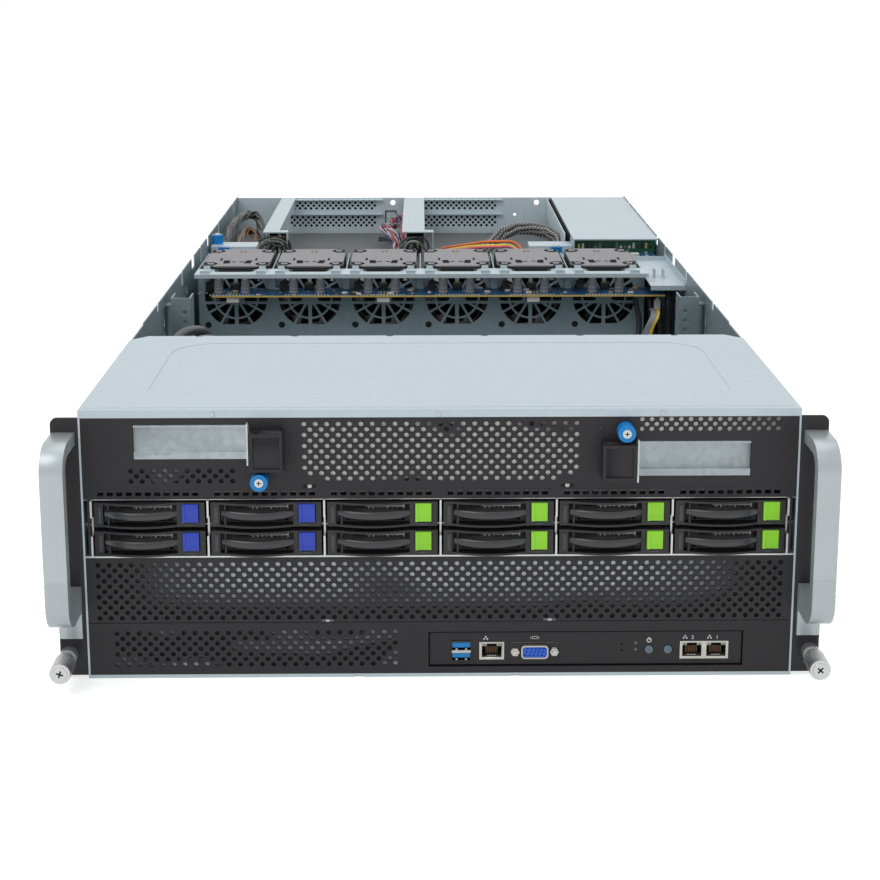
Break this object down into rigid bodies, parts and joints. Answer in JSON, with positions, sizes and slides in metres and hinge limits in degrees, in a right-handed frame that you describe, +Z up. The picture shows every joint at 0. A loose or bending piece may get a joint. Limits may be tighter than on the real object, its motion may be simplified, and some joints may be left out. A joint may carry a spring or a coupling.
{
  "type": "rack server",
  "caption": "Four-unit rack GPU server with hot-swap drive trays, lift-out fan modules, slide-out power supplies and lifting handles, rear cover removed.",
  "frame": {"origin": "centre of the chassis underside in plan, on its base face", "axes": "+X to the right seen from the front, +Y to the rear, +Z up"},
  "size_m": [0.4842, 0.939, 0.177],
  "materials": {
    "galvanised_sheet": "satin zinc-plated steel sheet",
    "cover_sheet": "pale blue-grey plated sheet",
    "black_panel": "black powder coat",
    "bright_sheet": "bright galvanised sheet",
    "connector_metal": "tinned connector shells",
    "handle_metal": "satin silver aluminium",
    "screw_metal": "nickel plated, knurled",
    "button_plastic": "grey-blue plastic",
    "circuit_board": "printed circuit board",
    "baffle_plastic": "dark grey plastic sheet",
    "cable_jacket": "cable jackets",
    "supply_case": "plated steel case",
    "tray_plastic": "black plastic",
    "fan_frame": "grey plate on a black frame",
    "fan_rotor": "black plastic"
  },
  "bodies": {
    "root": {"chassis_pan": "galvanised_sheet", "rear_panel": "galvanised_sheet", "front_cover": "cover_sheet", "upper_front_panel": "black_panel", "slot_covers": "bright_sheet", "drive_cage": "bright_sheet", "vent_panel": "black_panel", "lower_front_panel": "black_panel", "io_ports": "connector_metal", "rack_ears": "black_panel", "handles": "handle_metal", "fan_wall": "galvanised_sheet", "fan_board": "circuit_board", "psu_cage": "galvanised_sheet", "mainboard": "circuit_board", "air_baffle": "baffle_plastic", "card_supports": "cover_sheet", "wiring": "cable_jacket"},
    "left_thumbscrew": {"left_thumbscrew": "screw_metal"},
    "right_thumbscrew": {"right_thumbscrew": "screw_metal"},
    "power_button": {"power_button": "button_plastic"},
    "id_button": {"id_button": "button_plastic"},
    "psu_1": {"psu_1": "supply_case"},
    "psu_2": {"psu_2": "supply_case"},
    "drive_tray_01": {"drive_tray_01": "tray_plastic"},
    "drive_tray_02": {"drive_tray_02": "tray_plastic"},
    "drive_tray_03": {"drive_tray_03": "tray_plastic"},
    "drive_tray_04": {"drive_tray_04": "tray_plastic"},
    "drive_tray_05": {"drive_tray_05": "tray_plastic"},
    "drive_tray_06": {"drive_tray_06": "tray_plastic"},
    "drive_tray_07": {"drive_tray_07": "tray_plastic"},
    "drive_tray_08": {"drive_tray_08": "tray_plastic"},
    "drive_tray_09": {"drive_tray_09": "tray_plastic"},
    "drive_tray_10": {"drive_tray_10": "tray_plastic"},
    "drive_tray_11": {"drive_tray_11": "tray_plastic"},
    "drive_tray_12": {"drive_tray_12": "tray_plastic"},
    "tray_lever_01": {"tray_lever_01": "tray_plastic"},
    "tray_lever_02": {"tray_lever_02": "tray_plastic"},
    "tray_lever_03": {"tray_lever_03": "tray_plastic"},
    "tray_lever_04": {"tray_lever_04": "tray_plastic"},
    "tray_lever_05": {"tray_lever_05": "tray_plastic"},
    "tray_lever_06": {"tray_lever_06": "tray_plastic"},
    "tray_lever_07": {"tray_lever_07": "tray_plastic"},
    "tray_lever_08": {"tray_lever_08": "tray_plastic"},
    "tray_lever_09": {"tray_lever_09": "tray_plastic"},
    "tray_lever_10": {"tray_lever_10": "tray_plastic"},
    "tray_lever_11": {"tray_lever_11": "tray_plastic"},
    "tray_lever_12": {"tray_lever_12": "tray_plastic"},
    "fan_module_1": {"fan_module_1": "fan_frame"},
    "fan_module_2": {"fan_module_2": "fan_frame"},
    "fan_module_3": {"fan_module_3": "fan_frame"},
    "fan_module_4": {"fan_module_4": "fan_frame"},
    "fan_module_5": {"fan_module_5": "fan_frame"},
    "fan_module_6": {"fan_module_6": "fan_frame"},
    "fan_rotor_1": {"fan_rotor_1": "fan_rotor"},
    "fan_rotor_2": {"fan_rotor_2": "fan_rotor"},
    "fan_rotor_3": {"fan_rotor_3": "fan_rotor"},
    "fan_rotor_4": {"fan_rotor_4": "fan_rotor"},
    "fan_rotor_5": {"fan_rotor_5": "fan_rotor"},
    "fan_rotor_6": {"fan_rotor_6": "fan_rotor"}
  },
  "joints": [
    {"name": "tray_01_slide", "type": "slide", "parent": "root", "child": "drive_tray_01", "axis": [0, -1, 0], "range_m": [0, 0.11]},
    {"name": "lever_01_hinge", "type": "hinge", "parent": "drive_tray_01", "child": "tray_lever_01", "pos_m": [-0.20738, -0.4394, 0.1092], "axis": [0, 0, 1], "range_deg": [-60, 0]},
    {"name": "tray_02_slide", "type": "slide", "parent": "root", "child": "drive_tray_02", "axis": [0, -1, 0], "range_m": [0, 0.11]},
    {"name": "lever_02_hinge", "type": "hinge", "parent": "drive_tray_02", "child": "tray_lever_02", "pos_m": [-0.20738, -0.4394, 0.0905], "axis": [0, 0, 1], "range_deg": [-60, 0]},
    {"name": "tray_03_slide", "type": "slide", "parent": "root", "child": "drive_tray_03", "axis": [0, -1, 0], "range_m": [0, 0.11]},
    {"name": "lever_03_hinge", "type": "hinge", "parent": "drive_tray_03", "child": "tray_lever_03", "pos_m": [-0.13462, -0.4394, 0.1092], "axis": [0, 0, 1], "range_deg": [-60, 0]},
    {"name": "tray_04_slide", "type": "slide", "parent": "root", "child": "drive_tray_04", "axis": [0, -1, 0], "range_m": [0, 0.11]},
    {"name": "lever_04_hinge", "type": "hinge", "parent": "drive_tray_04", "child": "tray_lever_04", "pos_m": [-0.13462, -0.4394, 0.0905], "axis": [0, 0, 1], "range_deg": [-60, 0]},
    {"name": "tray_05_slide", "type": "slide", "parent": "root", "child": "drive_tray_05", "axis": [0, -1, 0], "range_m": [0, 0.11]},
    {"name": "lever_05_hinge", "type": "hinge", "parent": "drive_tray_05", "child": "tray_lever_05", "pos_m": [-0.06187, -0.4394, 0.1092], "axis": [0, 0, 1], "range_deg": [-60, 0]},
    {"name": "tray_06_slide", "type": "slide", "parent": "root", "child": "drive_tray_06", "axis": [0, -1, 0], "range_m": [0, 0.11]},
    {"name": "lever_06_hinge", "type": "hinge", "parent": "drive_tray_06", "child": "tray_lever_06", "pos_m": [-0.06187, -0.4394, 0.0905], "axis": [0, 0, 1], "range_deg": [-60, 0]},
    {"name": "tray_07_slide", "type": "slide", "parent": "root", "child": "drive_tray_07", "axis": [0, -1, 0], "range_m": [0, 0.11]},
    {"name": "lever_07_hinge", "type": "hinge", "parent": "drive_tray_07", "child": "tray_lever_07", "pos_m": [0.01087, -0.4394, 0.1092], "axis": [0, 0, 1], "range_deg": [-60, 0]},
    {"name": "tray_08_slide", "type": "slide", "parent": "root", "child": "drive_tray_08", "axis": [0, -1, 0], "range_m": [0, 0.11]},
    {"name": "lever_08_hinge", "type": "hinge", "parent": "drive_tray_08", "child": "tray_lever_08", "pos_m": [0.01087, -0.4394, 0.0905], "axis": [0, 0, 1], "range_deg": [-60, 0]},
    {"name": "tray_09_slide", "type": "slide", "parent": "root", "child": "drive_tray_09", "axis": [0, -1, 0], "range_m": [0, 0.11]},
    {"name": "lever_09_hinge", "type": "hinge", "parent": "drive_tray_09", "child": "tray_lever_09", "pos_m": [0.08363, -0.4394, 0.1092], "axis": [0, 0, 1], "range_deg": [-60, 0]},
    {"name": "tray_10_slide", "type": "slide", "parent": "root", "child": "drive_tray_10", "axis": [0, -1, 0], "range_m": [0, 0.11]},
    {"name": "lever_10_hinge", "type": "hinge", "parent": "drive_tray_10", "child": "tray_lever_10", "pos_m": [0.08363, -0.4394, 0.0905], "axis": [0, 0, 1], "range_deg": [-60, 0]},
    {"name": "tray_11_slide", "type": "slide", "parent": "root", "child": "drive_tray_11", "axis": [0, -1, 0], "range_m": [0, 0.11]},
    {"name": "lever_11_hinge", "type": "hinge", "parent": "drive_tray_11", "child": "tray_lever_11", "pos_m": [0.15637, -0.4394, 0.1092], "axis": [0, 0, 1], "range_deg": [-60, 0]},
    {"name": "tray_12_slide", "type": "slide", "parent": "root", "child": "drive_tray_12", "axis": [0, -1, 0], "range_m": [0, 0.11]},
    {"name": "lever_12_hinge", "type": "hinge", "parent": "drive_tray_12", "child": "tray_lever_12", "pos_m": [0.15637, -0.4394, 0.0905], "axis": [0, 0, 1], "range_deg": [-60, 0]},
    {"name": "fan_1_lift", "type": "slide", "parent": "root", "child": "fan_module_1", "axis": [0, 0, 1], "range_m": [0, 0.075]},
    {"name": "fan_1_spin", "type": "hinge", "parent": "fan_module_1", "child": "fan_rotor_1", "pos_m": [-0.18, 0.0616, 0.143], "axis": [0, 1, 0], "continuous": true},
    {"name": "fan_2_lift", "type": "slide", "parent": "root", "child": "fan_module_2", "axis": [0, 0, 1], "range_m": [0, 0.075]},
    {"name": "fan_2_spin", "type": "hinge", "parent": "fan_module_2", "child": "fan_rotor_2", "pos_m": [-0.113, 0.0616, 0.143], "axis": [0, 1, 0], "continuous": true},
    {"name": "fan_3_lift", "type": "slide", "parent": "root", "child": "fan_module_3", "axis": [0, 0, 1], "range_m": [0, 0.075]},
    {"name": "fan_3_spin", "type": "hinge", "parent": "fan_module_3", "child": "fan_rotor_3", "pos_m": [-0.046, 0.0616, 0.143], "axis": [0, 1, 0], "continuous": true},
    {"name": "fan_4_lift", "type": "slide", "parent": "root", "child": "fan_module_4", "axis": [0, 0, 1], "range_m": [0, 0.075]},
    {"name": "fan_4_spin", "type": "hinge", "parent": "fan_module_4", "child": "fan_rotor_4", "pos_m": [0.021, 0.0616, 0.143], "axis": [0, 1, 0], "continuous": true},
    {"name": "fan_5_lift", "type": "slide", "parent": "root", "child": "fan_module_5", "axis": [0, 0, 1], "range_m": [0, 0.075]},
    {"name": "fan_5_spin", "type": "hinge", "parent": "fan_module_5", "child": "fan_rotor_5", "pos_m": [0.088, 0.0616, 0.143], "axis": [0, 1, 0], "continuous": true},
    {"name": "fan_6_lift", "type": "slide", "parent": "root", "child": "fan_module_6", "axis": [0, 0, 1], "range_m": [0, 0.075]},
    {"name": "fan_6_spin", "type": "hinge", "parent": "fan_module_6", "child": "fan_rotor_6", "pos_m": [0.155, 0.0616, 0.143], "axis": [0, 1, 0], "continuous": true},
    {"name": "left_rack_screw_turn", "type": "hinge", "parent": "root", "child": "left_thumbscrew", "pos_m": [-0.2355, -0.454, 0.0165], "axis": [0, 1, 0], "continuous": true},
    {"name": "right_rack_screw_turn", "type": "hinge", "parent": "root", "child": "right_thumbscrew", "pos_m": [0.2355, -0.454, 0.0165], "axis": [0, 1, 0], "continuous": true},
    {"name": "power_button_press", "type": "slide", "parent": "root", "child": "power_button", "axis": [0, 1, 0], "range_m": [0, 0.001], "stiffness_N_per_m": 400, "springref_m": -0.001},
    {"name": "id_button_press", "type": "slide", "parent": "root", "child": "id_button", "axis": [0, 1, 0], "range_m": [0, 0.001], "stiffness_N_per_m": 400, "springref_m": -0.001},
    {"name": "psu_1_slide", "type": "slide", "parent": "root", "child": "psu_1", "axis": [0, 1, 0], "range_m": [0, 0.26]},
    {"name": "psu_2_slide", "type": "slide", "parent": "root", "child": "psu_2", "axis": [0, 1, 0], "range_m": [0, 0.26]}
  ]
}
